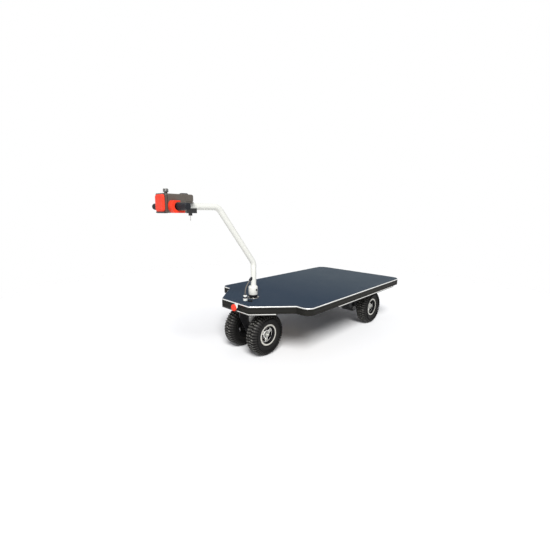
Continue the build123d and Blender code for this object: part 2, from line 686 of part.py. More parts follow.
def stop_base():
    y, up = STOP_PLATE_POS
    face = Plane((NOSE_X, y, BUMPER_Z + up), x_dir=(0, 1, 0), z_dir=(1, 0, 0))
    return extrude(face * RectangleRounded(STOP_PLATE_W, STOP_PLATE_H, STOP_PLATE_R), amount=STOP_PLATE_T)


def stop_button():
    y, up = STOP_POS
    head = disc(STOP_R, STOP_STEM_L - CUT, STOP_STEM_L + STOP_HEAD_T)
    head = fillet(head.edges().group_by(Axis.Z)[-1], STOP_EDGE_R)
    button = head + disc(STOP_STEM_R, 0, STOP_STEM_L)
    return Pos(NOSE_X + STOP_PLATE_T, y, BUMPER_Z + up) * Rot(0, 90, 0) * button


os.makedirs("parts", exist_ok=True)

SINGLES = (
    deck_mat, deck_board, edge_trim, edge_bumper, deck_frame, nose_plate, axle_plate, drive_axle,
    drive_motor, battery_box, steering_bearing, column_flange, steering_shaft, shaft_nut,
    column_collar, tiller_tube, fork_yoke, front_axle, head_shell, head_pad, head_knob, head_gauge,
    key_switch, ignition_key, cable_gland, cable_grommet, control_cable, stop_base, stop_button,
)
for make in SINGLES:
    save(make.__name__, make())

TYRE = tyre()
FRONT_RIM = front_rim()
REAR_RIM = rear_rim()
SIDES = (("left", 1), ("right", -1))
for name, side in SIDES:
    save(f"hanger_{name}", hanger(side))
    save(f"grip_{name}", grip(side))
    save(f"paddle_{name}", paddle(side))
    front = (0.0, side * FRONT_TRACK_HALF)
    rear = (-WHEELBASE, side * REAR_TRACK_HALF)
    save(f"tyre_front_{name}", at_wheel(TYRE, *front))
    save(f"rim_front_{name}", at_wheel(FRONT_RIM, *front))
    save(f"tyre_rear_{name}", at_wheel(TYRE, *rear))
    save(f"rim_rear_{name}", at_wheel(REAR_RIM, *rear))

print("steering axis x", STEER_X)
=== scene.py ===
from math import cos, hypot, pi, radians, sin, tau

import bmesh
import bpy
from mathutils import Matrix, Vector


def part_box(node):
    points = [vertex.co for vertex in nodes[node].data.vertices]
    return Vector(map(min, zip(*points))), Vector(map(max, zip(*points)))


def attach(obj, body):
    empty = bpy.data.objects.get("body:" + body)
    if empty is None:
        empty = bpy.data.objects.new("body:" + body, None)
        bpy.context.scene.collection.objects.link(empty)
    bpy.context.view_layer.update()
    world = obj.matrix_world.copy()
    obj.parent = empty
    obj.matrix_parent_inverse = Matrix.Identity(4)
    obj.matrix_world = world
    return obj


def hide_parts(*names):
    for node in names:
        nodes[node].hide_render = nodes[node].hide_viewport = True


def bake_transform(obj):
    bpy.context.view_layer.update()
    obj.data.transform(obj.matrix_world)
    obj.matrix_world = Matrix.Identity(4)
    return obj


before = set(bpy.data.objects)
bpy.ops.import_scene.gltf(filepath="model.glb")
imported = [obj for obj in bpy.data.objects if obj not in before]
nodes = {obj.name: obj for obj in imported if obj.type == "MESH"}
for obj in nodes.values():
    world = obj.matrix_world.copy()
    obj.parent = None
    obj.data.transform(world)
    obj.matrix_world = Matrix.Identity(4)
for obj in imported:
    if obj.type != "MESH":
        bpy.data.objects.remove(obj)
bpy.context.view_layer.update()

# The photographer's set: a white sweep that fades into a white room, lit by a broad softbox high
# over the camera's right shoulder and a smaller one low beside the camera. The lens stands at
# the height of the control head, ahead of the cart and to its left.
EYE = (1.6439, 1.4246, 0.8687)
HEADING, PITCH, ROLL = radians(223.74), radians(11.25), radians(0.43)
LENS_MM, SENSOR_MM, LENS_NEAR = 20.573, 36.0, 0.02

scene = bpy.context.scene
scene.view_settings.view_transform = "Standard"
ahead = Vector((cos(HEADING) * cos(PITCH), sin(HEADING) * cos(PITCH), -sin(PITCH)))
right = Vector((sin(HEADING), -cos(HEADING), 0))
above = right.cross(ahead)
turn = Matrix((
    right * cos(ROLL) + above * sin(ROLL), above * cos(ROLL) - right * sin(ROLL), -ahead,
)).transposed()
lens = bpy.data.cameras.new("camera")
lens.lens, lens.sensor_width, lens.clip_start = LENS_MM, SENSOR_MM, LENS_NEAR
camera = bpy.data.objects.new("camera", lens)
camera.matrix_world = Matrix.Translation(EYE) @ turn.to_4x4()
scene.collection.objects.link(camera)
scene.camera = camera


def linear(colour):
    """An sRGB hex colour as linear red, green, blue and alpha."""
    parts = [int(colour[i:i + 2], 16) / 255 for i in (1, 3, 5)]
    return [c / 12.92 if c <= 0.04045 else ((c + 0.055) / 1.055) ** 2.4 for c in parts] + [1.0]


def add(tree, kind, inputs=None, **settings):
    """Adds one node; inputs maps each socket to a value or to the output that feeds it."""
    node = tree.nodes.new("ShaderNode" + kind)
    for key, value in settings.items():
        setattr(node, key, value)
    for socket, value in (inputs or {}).items():
        if isinstance(value, bpy.types.NodeSocket):
            tree.links.new(value, node.inputs[socket])
        else:
            node.inputs[socket].default_value = value
    return node


# the room: soft grey-white light on the cart, plain white where lens or polish look at it
ROOM_LIGHT = 0.3
room = bpy.data.worlds.new("white room")
scene.world = room
room.use_nodes = True
tree = room.node_tree
tree.nodes.clear()
ray = add(tree, "LightPath").outputs
seen = add(tree, "Math", {0: ray["Is Camera Ray"], 1: ray["Is Glossy Ray"]}, operation="MAXIMUM")
seen = add(tree, "Math", {0: seen.outputs[0], 1: ray["Is Transmission Ray"]}, operation="MAXIMUM")
light = add(tree, "Background", {"Color": linear("#F6F8FF"), "Strength": ROOM_LIGHT})
white = add(tree, "Background", {"Color": linear("#FFFFFF"), "Strength": 1.0})
both = add(tree, "MixShader", {0: seen.outputs[0], 1: light.outputs[0], 2: white.outputs[0]})
add(tree, "OutputWorld", {"Surface": both.outputs[0]})

# matt white vinyl floor: takes the shadow, and thins out into the white room at its rim
FLOOR_R, FLOOR_SOLID_R, FLOOR_GONE_R, FLOOR_SIDES = 3.4, 1.9, 3.298, 96
vinyl = bpy.data.materials.new("matt white vinyl floor")
vinyl.use_nodes = True
tree = vinyl.node_tree
tree.nodes.clear()
place = add(tree, "TexCoord").outputs["Object"]
out = add(tree, "VectorMath", {0: place}, operation="LENGTH").outputs["Value"]
fade = add(tree, "MapRange", {"Value": out, "From Min": FLOOR_SOLID_R, "From Max": FLOOR_GONE_R})
matt = add(tree, "BsdfDiffuse", {"Color": linear("#FDFDFD")})
clear = add(tree, "BsdfTransparent")
ground = add(tree, "MixShader", {0: fade.outputs[0], 1: matt.outputs[0], 2: clear.outputs[0]})
add(tree, "OutputMaterial", {"Surface": ground.outputs[0]})
bm = bmesh.new()
bmesh.ops.create_circle(bm, cap_ends=True, segments=FLOOR_SIDES, radius=FLOOR_R)
sheet = bpy.data.meshes.new("floor")
bm.to_mesh(sheet)
bm.free()
sheet.materials.append(vinyl)
floor = bpy.data.objects.new("floor", sheet)
scene.collection.objects.link(floor)

# the main softbox is far off, half way up the sky: the floor is evenly white and the shadow falls
# away behind the cart; the low one lifts the wheels and the rubber edge
for name, kind, spot, aim, spread, level in (
    ("high softbox", "SUN", (1.8, 2.1, 2.9), (0.0, 0.0, 0.0), radians(26), 3.4),
    ("low softbox", "AREA", (2.7, 2.3, 0.5), (0.2, 0.0, 0.3), 1.2, 16.0),
):
    lamp = bpy.data.lights.new(name, kind)
    lamp.energy = level
    if kind == "SUN":
        lamp.angle = spread
    else:
        lamp.size = spread
    softbox = bpy.data.objects.new(name, lamp)
    softbox.matrix_world = Matrix.Translation(spot) @ (
        (Vector(aim) - Vector(spot)).to_track_quat("-Z", "Y").to_matrix().to_4x4()
    )
    scene.collection.objects.link(softbox)

# Frame: box-section steel rails and cross members, welded up and coated black. It
# carries the board from below, and the plates are bolted up under it.
WELD_M, EASE_OVER_DEG = 0.00001, 35
# the middle of a noise, which a finish's colour and gloss drift over from end to end
COLOUR_REACH, GLOSS_REACH, LEAST_ROUGH = (0.3, 0.7), (0.25, 0.75), 0.02


def surface(
    name, tone, drift, patch_mm, rough, grain_mm, lift_mm, spread=0.06, stretch=(1, 1, 1), **sockets
):
    """A finish whose colour and gloss drift over patch_mm, with a grain that lifts it by lift_mm."""
    material = bpy.data.materials.new(name)
    material.use_nodes = True
    tree = material.node_tree
    shader = tree.nodes["Principled BSDF"]
    place = add(tree, "TexCoord", name="place").outputs["Object"]
    if stretch != (1, 1, 1):
        place = add(tree, "Mapping", {"Vector": place, "Scale": stretch}).outputs["Vector"]
    patch = add(tree, "TexNoise", {
        "Vector": place, "Scale": 1000 / patch_mm, "Detail": 4.0, "Roughness": 0.6,
    }).outputs["Fac"]
    shift = add(tree, "MapRange", {
        "Value": patch, "From Min": COLOUR_REACH[0], "From Max": COLOUR_REACH[1],
    })
    colour = add(tree, "Mix", {
        0: shift.outputs[0], 6: linear(tone), 7: linear(drift),
    }, data_type="RGBA", name="colour")
    gloss = add(tree, "MapRange", {
        "Value": patch, "From Min": GLOSS_REACH[0], "From Max": GLOSS_REACH[1],
        "To Min": max(LEAST_ROUGH, rough - spread), "To Max": rough + spread,
    })
    grain = add(tree, "TexNoise", {"Vector": place, "Scale": 1000 / grain_mm, "Detail": 3.0})
    relief = add(tree, "Bump", {
        "Height": grain.outputs["Fac"], "Distance": lift_mm / 1000, "Strength": 1.0,
    }, name="relief")
    tree.links.new(colour.outputs[2], shader.inputs["Base Color"])
    tree.links.new(gloss.outputs[0], shader.inputs["Roughness"])
    tree.links.new(relief.outputs[0], shader.inputs["Normal"])
    for socket, value in sockets.items():
        shader.inputs[socket.replace("_", " ")].default_value = value
    return material


def dress(name, material, ease_mm=0.0, *others):
    """Gives a carried-over solid its finish, and others to the faces each picks by centre and normal."""
    solid = nodes[name]
    solid.data.materials.clear()
    solid.data.materials.append(material)
    for index, (finish, picks) in enumerate(others, 1):
        solid.data.materials.append(finish)
        for face in solid.data.polygons:
            if picks(face.center, face.normal):
                face.material_index = index
    weld = solid.modifiers.new("weld", "WELD")
    weld.merge_threshold = WELD_M
    if ease_mm:
        bevel = solid.modifiers.new("eased edges", "BEVEL")
        bevel.width, bevel.segments = ease_mm / 1000, 2
        bevel.limit_method, bevel.angle_limit = "ANGLE", radians(EASE_OVER_DEG)
        bevel.harden_normals = True


# powder coat: fine orange peel, an even satin black
black_powder = surface("black powder-coated steel", "#1B1B1D", "#232326", 120, 0.48, 3.0, 0.04)
dress("deck_frame", black_powder, 2.0)

# Deck board: sealed plywood bonded under the mat and screwed to the frame, seen
# only at the shaft's hole and from below.
# sealed birch ply: warm and straight-grained, darker where the sealer has soaked in
plywood = surface(
    "sealed birch plywood", "#8C7350", "#A58A62", 40, 0.55, 4.0, 0.08, stretch=(0.12, 1, 1),
)
dress("deck_board", plywood)

# Anti-slip mat: navy rubber sheet, bonded over the whole deck. Its top is moulded
# with rows of low round studs that read as a fine even grain from a step away.
STUD_MM, STUD_LIFT_MM, STUD_STRENGTH, STUD_STRAY = 5.0, 0.35, 0.6, 0.12
STUD_TOP, STUD_FOOT = 0.15, 0.5  # shares of the pitch, out from a stud's middle
PAINTED_SHEEN_FRONT_X, PAINTED_SHEEN_REAR_X = 0.10, -0.62


def overlay(material, share, colour):
    """Lays a second colour over a finish, by a share from 0 to 1."""
    tree = material.node_tree
    own = tree.nodes["colour"].outputs[2]
    mixed = add(tree, "Mix", {0: share, 6: own, 7: linear(colour)}, data_type="RGBA")
    tree.links.new(mixed.outputs[2], tree.nodes["Principled BSDF"].inputs["Base Color"])


# moulded rubber: deep navy and matt; a grey painted sheen grows towards the rear, standing in for the
# reflection at a grazing view
mat_rubber = surface(
    "moulded navy rubber mat", "#283544", "#2D3A48", 220, 0.72, 1.2, 0.03, Specular_IOR_Level=0.08,
)
tree = mat_rubber.node_tree
place = tree.nodes["place"].outputs["Object"]
along = add(tree, "SeparateXYZ", {0: place}).outputs["X"]
# painted sheen: the mat turns greyer from the front x to the rear x
painted_sheen = add(tree, "MapRange", {"Value": along, "From Min": PAINTED_SHEEN_FRONT_X, "From Max": PAINTED_SHEEN_REAR_X})
overlay(mat_rubber, painted_sheen.outputs[0], "#404A53")
studs = add(tree, "TexVoronoi", {"Vector": place, "Scale": 1000 / STUD_MM, "Randomness": STUD_STRAY})
dome = add(tree, "MapRange", {
    "Value": studs.outputs["Distance"], "From Min": STUD_TOP, "From Max": STUD_FOOT,
    "To Min": 1.0, "To Max": 0.0,
})
raised = add(tree, "Bump", {
    "Height": dome.outputs[0], "Distance": STUD_LIFT_MM / 1000, "Strength": STUD_STRENGTH,
    "Normal": tree.nodes["relief"].outputs[0],
})
tree.links.new(raised.outputs[0], tree.nodes["Principled BSDF"].inputs["Normal"])
dress("deck_mat", mat_rubber)

# Edging strip: bright anodised aluminium, rolled round the deck's edge and pressed
# over the board. It shows as one unbroken pale line; the mat's rim laps its top.
LOOKS_UP = 0.9  # the upward share of a face's normal


def on_top(centre, normal):
    """Picks the faces that look up."""
    return normal.z > LOOKS_UP


# anodised aluminium: pale satin metal with a fine drawn grain along the strip
anodised = surface(
    "satin anodised aluminium", "#F1F1EE", "#E4E4E0", 60, 0.34, 1.5, 0.004, Metallic=0.55,
)
dress("edge_trim", anodised, 0, (mat_rubber, on_top))

# Rubber edge: black extrusion with two grooves, pushed on all round the deck's rim
# as a fender.
# extruded rubber: matt and near black, browner in patches where it has aged
bumper_rubber = surface(
    "extruded black rubber fender", "#131310", "#1B1A16", 90, 0.62, 1.4, 0.04, Specular_IOR_Level=0.2,
)
dress("edge_bumper", bumper_rubber)

# Nose and axle plates: pale grey painted steel, bolted up under the frame, whose edges
# show as a thin light line below the black rim. They are coloured black from below up to a line on their
# edges.
PALE_GREY, PALE_GREY_DRIFT = "#ECEBE6", "#E2E1DB"
EDGE_BLACK_UP, EDGE_BLACK_SOFT = 0.0044, 0.0003
steer_x = sum(corner.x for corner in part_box("steering_shaft")) / 2
plate_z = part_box("axle_plate")[0].z
BLACK_PATCH_X, BLACK_PATCH_HALF, BLACK_PATCH_Y, FRONT_EDGE = steer_x - 0.068, 0.100, 0.018, 0.002
# stoved enamel on rolled plate: pale, slightly warm, with a soft sheen
plate_enamel = surface(
    "pale grey enamel, black from below", PALE_GREY, PALE_GREY_DRIFT, 150, 0.5, 4.0, 0.01,
)
tree = plate_enamel.node_tree
at = add(tree, "SeparateXYZ", {0: tree.nodes["place"].outputs["Object"]}).outputs
# the plates are black below a line 4.4 mm up their edges
edge_black = add(tree, "MapRange", {
    "Value": at["Z"], "From Min": plate_z + EDGE_BLACK_UP - EDGE_BLACK_SOFT,
    "From Max": plate_z + EDGE_BLACK_UP + EDGE_BLACK_SOFT, "To Min": 1.0, "To Max": 0.0,
})
# black also on the nose's front edge beside the stop button, and on a band over the nose plate's rear
rear = add(tree, "Math", {0: at["X"], 1: BLACK_PATCH_X, 2: BLACK_PATCH_HALF}, operation="COMPARE")
nose_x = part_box("nose_plate")[1].x
front = add(tree, "Math", {0: at["X"], 1: nose_x, 2: FRONT_EDGE}, operation="COMPARE")
beside = add(tree, "Math", {0: at["Y"], 1: BLACK_PATCH_Y}, operation="LESS_THAN")
front = add(tree, "Math", {0: front.outputs[0], 1: beside.outputs[0]}, operation="MULTIPLY")
black_patches = add(tree, "Math", {0: rear.outputs[0], 1: front.outputs[0]}, operation="MAXIMUM")
black_share = add(tree, "Math", {0: edge_black.outputs[0], 1: black_patches.outputs[0]}, operation="MAXIMUM")
overlay(plate_enamel, black_share.outputs[0], "#1A1A1A")
for plate in ("nose_plate", "axle_plate"):
    dress(plate, plate_enamel, 0.8)

# their bolts, put in from below: places ahead of the steering axis and to the side of it
NOSE_BOLTS = ((0.10, 0.105), (0.05, 0.185), (-0.10, 0.11))
AXLE_BOLTS = tuple((x, 0.21) for x in (-0.425, -0.60, -0.80, -0.90, -1.16))
PLATE_BOLT_R, PLATE_BOLT_H = 0.0075, 0.006
WASHER_RATIO, WASHER_T, WASHER_EDGE, WASHER_SUNK = 1.35, 0.0016, 0.0005, 0.0005


def skin(name, bm, material, body, sharp_deg=32):
    """Makes a mesh a piece: smooth where it curves, creased where it turns, riding on a body."""
    bmesh.ops.recalc_face_normals(bm, faces=bm.faces)
    for face in bm.faces:
        face.smooth = True
    for edge in bm.edges:
        edge.smooth = len(edge.link_faces) == 2 and edge.calc_face_angle(pi) < radians(sharp_deg)
    mesh = bpy.data.meshes.new(name)
    bm.to_mesh(mesh)
    bm.free()
    mesh.materials.append(material)
    piece = bpy.data.objects.new(name, mesh)
    scene.collection.objects.link(piece)
    if body:
        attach(piece, body)
    return piece


def loft(bm, rings, caps=True):
    """Joins closed rings of points with quads, and closes the two ends."""
    rows = [[bm.verts.new(p) for p in ring] for ring in rings]
    for a, b in zip(rows, rows[1:]):
        for i in range(len(a)):
            j = (i + 1) % len(a)
            bm.faces.new((a[i], a[j], b[j], b[i]))
    if caps:
        bm.faces.new(rows[0])
        bm.faces.new(rows[-1])
    return rows


def lathe(bm, profile, steps, place):
    """Turns a (radius, along) profile about the place's Z axis."""
    loft(bm, [
        [place @ Vector((r * cos(tau * k / steps), r * sin(tau * k / steps), z)) for k in range(steps)]
        for r, z in profile
    ])


def seat(point, normal, spin=0.0):
    """A frame at a point on a face, with Z out of the face."""
    aim = Vector(normal).to_track_quat("Z", "Y").to_matrix().to_4x4()
    return Matrix.Translation(point) @ aim @ Matrix.Rotation(spin, 4, "Z")


def hex_bolt(bm, point, normal, radius, height, spin=0.0):
    """A washer with a chamfered six-sided head on it."""
    place = seat(point, normal, spin)
    washer, chamfer = radius * WASHER_RATIO, radius * 0.12
    lathe(bm, [
        (washer, -WASHER_SUNK), (washer, WASHER_T - WASHER_EDGE), (washer - 0.0006, WASHER_T),
        (radius * 0.4, WASHER_T),
    ], 24, place)
    lathe(bm, [
        (radius, 0.0012), (radius, height - chamfer), (radius - chamfer * 1.6, height),
        (radius * 0.5, height),
    ], 6, place)


# zinc plate: bright, slightly blue and yellow, dulled by handling
zinc = surface("zinc-plated steel", "#C4C4BE", "#AFAFA8", 6, 0.33, 0.8, 0.01, Metallic=0.9)
bm = bmesh.new()
for spots, spin in ((NOSE_BOLTS, 40), (AXLE_BOLTS, 50)):
    for x, y in spots:
        for side in (1, -1):
            spot = (steer_x + x, side * y, plate_z)
            hex_bolt(bm, spot, (0, 0, -1), PLATE_BOLT_R, PLATE_BOLT_H, x * spin)
skin("plate_bolts", bm, zinc, "chassis")

# Drive axle: one cast housing with a tube each side, painted dark, hung from two
# plates and held up to them by straps; the motor sits round the left tube.
MOTOR_BOLT_RING, STRAP_BOLT_X = 0.045, 0.0345
DRIVE_BOLT_R, MOTOR_BOLT_H, STRAP_BOLT_H = 0.0045, 0.004, 0.006
STRAP_R, STRAP_T, STRAP_FOOT, STRAP_INSET, STRAP_STEPS = 0.0256, 0.004, 0.040, 0.001, 16
# sand-cast iron under thick paint: pitted, uneven, half matt
casting = surface("painted sand-cast iron", "#363637", "#424244", 50, 0.55, 3.5, 0.25)
dress("drive_axle", casting, 1.5)
for side in ("left", "right"):
    dress("hanger_" + side, black_powder, 1.2)
# brushed-on enamel over a turned steel case: dark, with a soft streak of light along it
motor_enamel = surface("black enamel on turned steel", "#303032", "#3A3A3C", 60, 0.3, 2.0, 0.04)
dress("drive_motor", motor_enamel, 1.5)
axle_low, axle_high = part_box("drive_axle")
axle_x, axle_z = (axle_low.x + axle_high.x) / 2, (axle_low.z + axle_high.z) / 2
motor_face_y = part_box("drive_motor")[1].y
bm = bmesh.new()
for n in range(4):
    a = tau * (n + 0.5) / 4
    spot = (axle_x + MOTOR_BOLT_RING * cos(a), motor_face_y, axle_z + MOTOR_BOLT_RING * sin(a))
    hex_bolt(bm, spot, (0, 1, 0), DRIVE_BOLT_R, MOTOR_BOLT_H, a)
for side in ("left", "right"):
    low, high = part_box("hanger_" + side)
    for fore in (1, -1):
        spot = (axle_x + fore * STRAP_BOLT_X, (low.y + high.y) / 2, low.z - STRAP_T)
        hex_bolt(bm, spot, (0, 0, -1), DRIVE_BOLT_R, STRAP_BOLT_H)
skin("drive_bolts", bm, zinc, "chassis")
bend = [-pi * k / STRAP_STEPS for k in range(STRAP_STEPS + 1)]
strap = [(STRAP_FOOT, 0.0), *((STRAP_R * cos(a), STRAP_R * sin(a)) for a in bend), (-STRAP_FOOT, 0.0)]
bm = bmesh.new()
for side in ("left", "right"):
    low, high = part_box("hanger_" + side)
    near, far = low.y + STRAP_INSET, high.y - STRAP_INSET
    rings = []
    for i, (x, z) in enumerate(strap):
        flat = i in (0, len(strap) - 1)
        out = Vector((0, -STRAP_T)) if flat else Vector((x, z)).normalized() * STRAP_T
        if i in (1, len(strap) - 2):
            out = Vector((out.x, -STRAP_T))
        x, z = axle_x + x, axle_z + z
        rings.append([
            (x, near, z), (x, far, z), (x + out.x, far, z + out.y), (x + out.x, near, z + out.y),
        ])
    loft(bm, rings)
skin("axle_straps", bm, black_powder, "chassis")

# Battery box: a moulded polypropylene case with a lid, hung below the axle plate
# between the drive axle and the nose.
# polypropylene: waxy and dull black, with a fine moulded grain
polypropylene = surface("moulded black polypropylene", "#1D1D1E", "#272728", 80, 0.5, 1.6, 0.08)
dress("battery_box", polypropylene, 2.0)

# Column foot: steel bearing in the frame, a black-faced flange on the mat held by four
# bolts, a black hexagon nut and the white collar that clamps the tiller tube.
FLANGE_BOLT_RING, FLANGE_BOLT_R, FLANGE_BOLT_H = 0.0308, 0.0042, 0.0042
# turned steel: bright rings left by the tool
turned_steel = surface(
    "turned bright steel", "#C9C9C4", "#B4B4AE", 12, 0.30, 0.6, 0.01, stretch=(1, 1, 12), Metallic=0.85,
)
dress("steering_bearing", turned_steel, 0.6)
dress("steering_shaft", turned_steel, 0.6)
# blackened steel: nearly black, with a bluish satin gleam on its corners
blackened = surface("oil-blackened steel", "#141416", "#1E1F22", 8, 0.38, 1.0, 0.01, Metallic=0.5)
dress("column_flange", turned_steel, 0.6, (blackened, on_top))
dress("shaft_nut", blackened, 0.8)
# white powder coat: clean and slightly warm, smooth enough for a soft highlight
white_powder = surface(
    "white powder-coated steel", "#E9E9E2", "#E3E3DB", 90, 0.55, 2.5, 0.001,
    spread=0.03, Specular_IOR_Level=0.12,
)
dress("column_collar", white_powder, 0.8)
dress("tiller_tube", white_powder)
flange_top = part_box("column_flange")[1].z
bm = bmesh.new()
for n in range(4):
    a = tau * (n + 0.5) / 4
    spot = (steer_x + FLANGE_BOLT_RING * cos(a), FLANGE_BOLT_RING * sin(a), flange_top)
    hex_bolt(bm, spot, (0, 0, 1), FLANGE_BOLT_R, FLANGE_BOLT_H, a)
skin("flange_bolts", bm, zinc, "chassis")

# the collar's socket screw, radius and height: a black dot on its left side
CLAMP_SCREW = ((0.0058, 0), (0.0058, 0.0049), (0.0052, 0.0055), (0.0034, 0.0055), (0.0030, 0.0025))
CLAMP_SCREW_UP, CLAMP_SCREW_SUNK, CLAMP_SCREW_AIM = 0.032, 0.002, radians(92)
collar_low, collar_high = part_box("column_collar")
out = Vector((cos(CLAMP_SCREW_AIM), sin(CLAMP_SCREW_AIM), 0))
spot = Vector((steer_x, 0, collar_low.z + CLAMP_SCREW_UP)) + out * (collar_high.y - CLAMP_SCREW_SUNK)
bm = bmesh.new()
lathe(bm, CLAMP_SCREW, 24, seat(spot, out))
skin("clamp_screw", bm, blackened, "steering")

# Cable grommet: soft black rubber boss pushed into the tube, with a bead round its
# mouth and another round its root.
# the cable's way from the grommet's mouth to the gland
CABLE_ROUTE = (
    (0.3799, 0.0, 0.4551), (0.39828, 0.0, 0.43672), (0.4169, 0.0062, 0.4184),
    (0.4264, 0.0109, 0.4022), (0.4300, 0.0130, 0.3880), (0.4300, 0.0130, 0.3740),
)
# both beads, radius and distance along the cable from the mouth
GROMMET_BEADS = (
    ((0.0074, -0.006), (0.0088, -0.0055), (0.0092, -0.0038), (0.0088, -0.0022), (0.0074, -0.0016),
     (0.0070, 0.0012), (0.0052, 0.0022), (0.0042, 0.0024)),
    ((0.0078, -0.0165), (0.0096, -0.0155), (0.0100, -0.0138), (0.0096, -0.0120), (0.0078, -0.0112)),
)
# soft rubber: bluish black, dull, with a faint gleam along its ribs
grip_rubber = surface(
    "moulded black soft rubber", "#0F1116", "#171A21", 12, 0.55, 1.0, 0.02, Specular_IOR_Level=0.3,
)
dress("cable_grommet", grip_rubber, 0.8)
way = (Vector(CABLE_ROUTE[1]) - Vector(CABLE_ROUTE[0])).normalized()
bm = bmesh.new()
for bead in GROMMET_BEADS:
    lathe(bm, bead, 28, seat(CABLE_ROUTE[0], way))
skin("grommet_beads", bm, grip_rubber, "steering")

# Fork: one steel plate bent to a U and painted black, pale on its two outer cheeks,
# with the front axle through its feet and a plated nut on each end of the axle.
AXLE_NUT = ((0.0115, -0.0005), (0.0115, 0.0042), (0.0101, 0.0054), (0.007, 0.0056))
AXLE_STUD = ((0.0060, 0.0040), (0.0060, 0.0078), (0.0052, 0.0086), (0.001, 0.0087))
AXLE_BRIGHT_Y, CHEEK_SLACK = 0.11, 0.001
yoke_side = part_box("fork_yoke")[1].y


def outer_cheek(centre, normal):
    """Picks the fork's two outer faces."""
    return abs(centre.y) > yoke_side - CHEEK_SLACK and normal.y * centre.y > 0


# stoved enamel, as on the plates but with no black band: clean and pale
grey_enamel = surface(
    "pale grey stoved enamel on steel", PALE_GREY, PALE_GREY_DRIFT, 150, 0.5, 4.0, 0.01,
)
dress("fork_yoke", black_powder, 0.8, (grey_enamel, outer_cheek))
dress("front_axle", blackened, 0.6, (turned_steel, lambda centre, normal: abs(centre.y) > AXLE_BRIGHT_Y))
axle_end_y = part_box("front_axle")[1].y
front_z = sum(corner.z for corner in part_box("front_axle")) / 2
bm = bmesh.new()
for side in (1, -1):
    place = seat((steer_x, side * axle_end_y, front_z), (0, side, 0))
    lathe(bm, AXLE_NUT, 6, place)
    lathe(bm, AXLE_STUD, 20, place)
skin("front_axle_nuts", bm, zinc, "steering")

# Tyres: black rubber, smooth side walls with a rib by the rim, and block tread whose
# shoulder lugs run down the wall. Made in one mould, so all four are alike.
WHEELS = (
    # place, body
    ("front_left", "front_wheels"), ("front_right", "front_wheels"),
    ("rear_left", "rear_wheel_left"), ("rear_right", "rear_wheel_right"),
)
LUGS, MIDDLE_STAGGER = 44, 0.22
LUG_TOP_W, LUG_FOOT_W, LUG_DRAFT, LUG_ROOT, LUG_EDGE = 0.0102, 0.0088, 0.0004, 0.0072, 0.0007
LUG_EASE_OVER_DEG = 40
SCUFF_GLINT_MM, SCUFF_GLINT_FROM_R, SCUFF_GLINT_FULL_R = 9, 0.1255, 0.1297
SCUFF_GLINT_REACH, LEAST_SCUFF_GLINT = (0.44, 0.62), 0.12
# side wall and carcass, radius and distance from the middle plane
CARCASS = (
    (0.0548, 0.0275), (0.0672, 0.0283), (0.0684, 0.0322), (0.0702, 0.0352), (0.0732, 0.0372),
    (0.0752, 0.0386), (0.0768, 0.0386), (0.0782, 0.0380), (0.0830, 0.0393), (0.0890, 0.0401),
    (0.0950, 0.0402), (0.0968, 0.0406), (0.0985, 0.0404), (0.1040, 0.0392), (0.1110, 0.0368),
    (0.1168, 0.0326), (0.1208, 0.0272), (0.1232, 0.0180), (0.1238, 0.0080),
)
# over the blocks, distance from the middle plane and radius
SHOULDER_LUG = (
    (0.0112, 0.1298), (0.0262, 0.1296), (0.0300, 0.1274), (0.0350, 0.1222), (0.0395, 0.1160),
    (0.0418, 0.1105), (0.0417, 0.1045), (0.0402, 0.0985),
)
MIDDLE_BLOCK = ((-0.0084, 0.1296), (-0.0030, 0.1298), (0.0030, 0.1298), (0.0084, 0.1296))


def tread_block(bm, line, angle, top_w, foot_w):
    """One rubber block: a bar over the line, drafted down into the carcass."""
    fore = Vector((cos(angle), 0, sin(angle)))
    side = Vector((-sin(angle), 0, cos(angle)))
    rings = []
    for i, (y, r) in enumerate(line):
        (y0, r0), (y1, r1) = line[max(i - 1, 0)], line[min(i + 1, len(line) - 1)]
        out = Vector((r0 - r1, y1 - y0)).normalized()
        if out.y < 0:
            out.negate()
        share = i / (len(line) - 1)
        half = (top_w + (foot_w - top_w) * share) / 2
        low_y, low_r = y - out.x * LUG_ROOT, r - out.y * LUG_ROOT
        rings.append([
            fore * r + side * half + Vector((0, y, 0)), fore * r - side * half + Vector((0, y, 0)),
            fore * low_r - side * (half + LUG_DRAFT) + Vector((0, low_y, 0)),
            fore * low_r + side * (half + LUG_DRAFT) + Vector((0, low_y, 0)),
        ])
    tops = [row[:2] for row in loft(bm, rings)]
    for a, b in zip(tops, tops[1:]):
        bm.faces.get((*a, *reversed(b))).material_index = 1


# tyre rubber: near black and matt; the blocks' tops are a little lighter, and grey towards the crown, some
# more than others: partly scuffing and partly painted highlight for glints
tyre_rubber = surface(
    "vulcanised tyre rubber", "#0E0E0D", "#151413", 26, 0.62, 1.2, 0.02, Specular_IOR_Level=0.2,
)
worn_and_highlit_rubber = surface(
    "road-worn tyre rubber with painted highlights", "#1A1917", "#22201D", 26, 0.5, 1.2, 0.03, Specular_IOR_Level=0.3,
)
tree = worn_and_highlit_rubber.node_tree
place = tree.nodes["place"].outputs["Object"]
flat = add(tree, "VectorMath", {0: place, 1: (1, 0, 1)}, operation="MULTIPLY").outputs[0]
reach = add(tree, "VectorMath", {0: flat}, operation="LENGTH").outputs["Value"]
